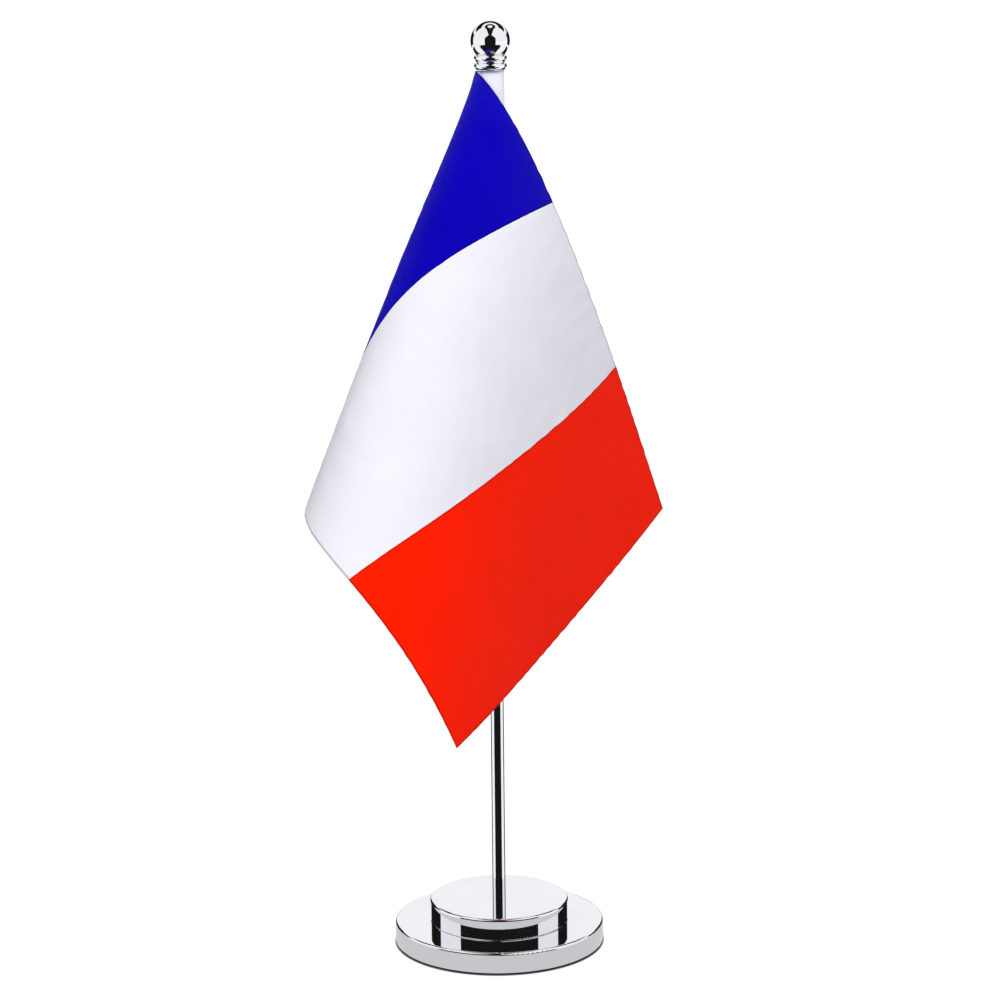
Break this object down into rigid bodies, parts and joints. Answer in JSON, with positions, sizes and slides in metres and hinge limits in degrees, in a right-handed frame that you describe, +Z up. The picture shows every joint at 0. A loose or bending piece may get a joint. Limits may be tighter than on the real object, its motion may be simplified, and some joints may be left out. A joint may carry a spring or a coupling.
{
  "type": "desk flag stand",
  "caption": "Polished two-tier round stand with a slim pole, a screw-on ball finial and a draped satin tricolour flag on a pole pocket.",
  "frame": {"origin": "centre of the foot's underside, on the pole's axis", "axes": "+Z up along the pole; the flag's front faces -Y and its fold lies towards -X"},
  "size_m": [0.1266, 0.1511, 0.3429],
  "materials": {
    "pad_foam": "matt closed-cell foam",
    "mirror_steel": "mirror polish",
    "ballast_iron": "rough cast",
    "thread_brass": "turned",
    "plated_steel": "zinc plated",
    "sleeve_cloth": "thin white satin",
    "blue_satin": "satin sheen",
    "white_satin": "satin sheen",
    "red_satin": "satin sheen"
  },
  "bodies": {
    "base": {"foot_pad": "pad_foam", "lower_base_shell": "mirror_steel", "lower_ballast": "ballast_iron", "upper_base_shell": "mirror_steel", "upper_ballast": "ballast_iron", "pole_bush": "thread_brass", "tier_screws": "plated_steel", "tier_lock_washers": "plated_steel"},
    "pole_core": {"pole_foot_stud": "plated_steel"},
    "pole": {"pole_tube": "mirror_steel", "pole_top_nut": "thread_brass"},
    "finial_core": {"finial_stud": "plated_steel"},
    "finial": {"finial_collar": "mirror_steel", "finial_ball": "mirror_steel"},
    "flag": {"flag_sleeve": "sleeve_cloth", "flag_blue": "blue_satin", "flag_white": "white_satin", "flag_red": "red_satin"}
  },
  "joints": [
    {"name": "pole_lift", "type": "slide", "parent": "base", "child": "pole_core", "axis": [0, 0, 1], "range_m": [0, 0.006]},
    {"name": "pole_turn", "type": "hinge", "parent": "pole_core", "child": "pole", "pos_m": [0, 0, 0.0165], "axis": [0, 0, 1], "range_deg": [0, 4320]},
    {"name": "finial_lift", "type": "slide", "parent": "pole", "child": "finial_core", "axis": [0, 0, 1], "range_m": [0, 0.0054]},
    {"name": "finial_turn", "type": "hinge", "parent": "finial_core", "child": "finial", "pos_m": [0, 0, 0.325], "axis": [0, 0, 1], "range_deg": [0, 4320]},
    {"name": "flag_swivel", "type": "hinge", "parent": "pole", "child": "flag", "pos_m": [0, 0, 0.325], "axis": [0, 0, 1], "continuous": true}
  ],
  "couplings": [
    {"joint": "pole_turn", "follows": "pole_lift", "rad_per_m": 12566},
    {"joint": "finial_turn", "follows": "finial_lift", "rad_per_m": 13962}
  ]
}
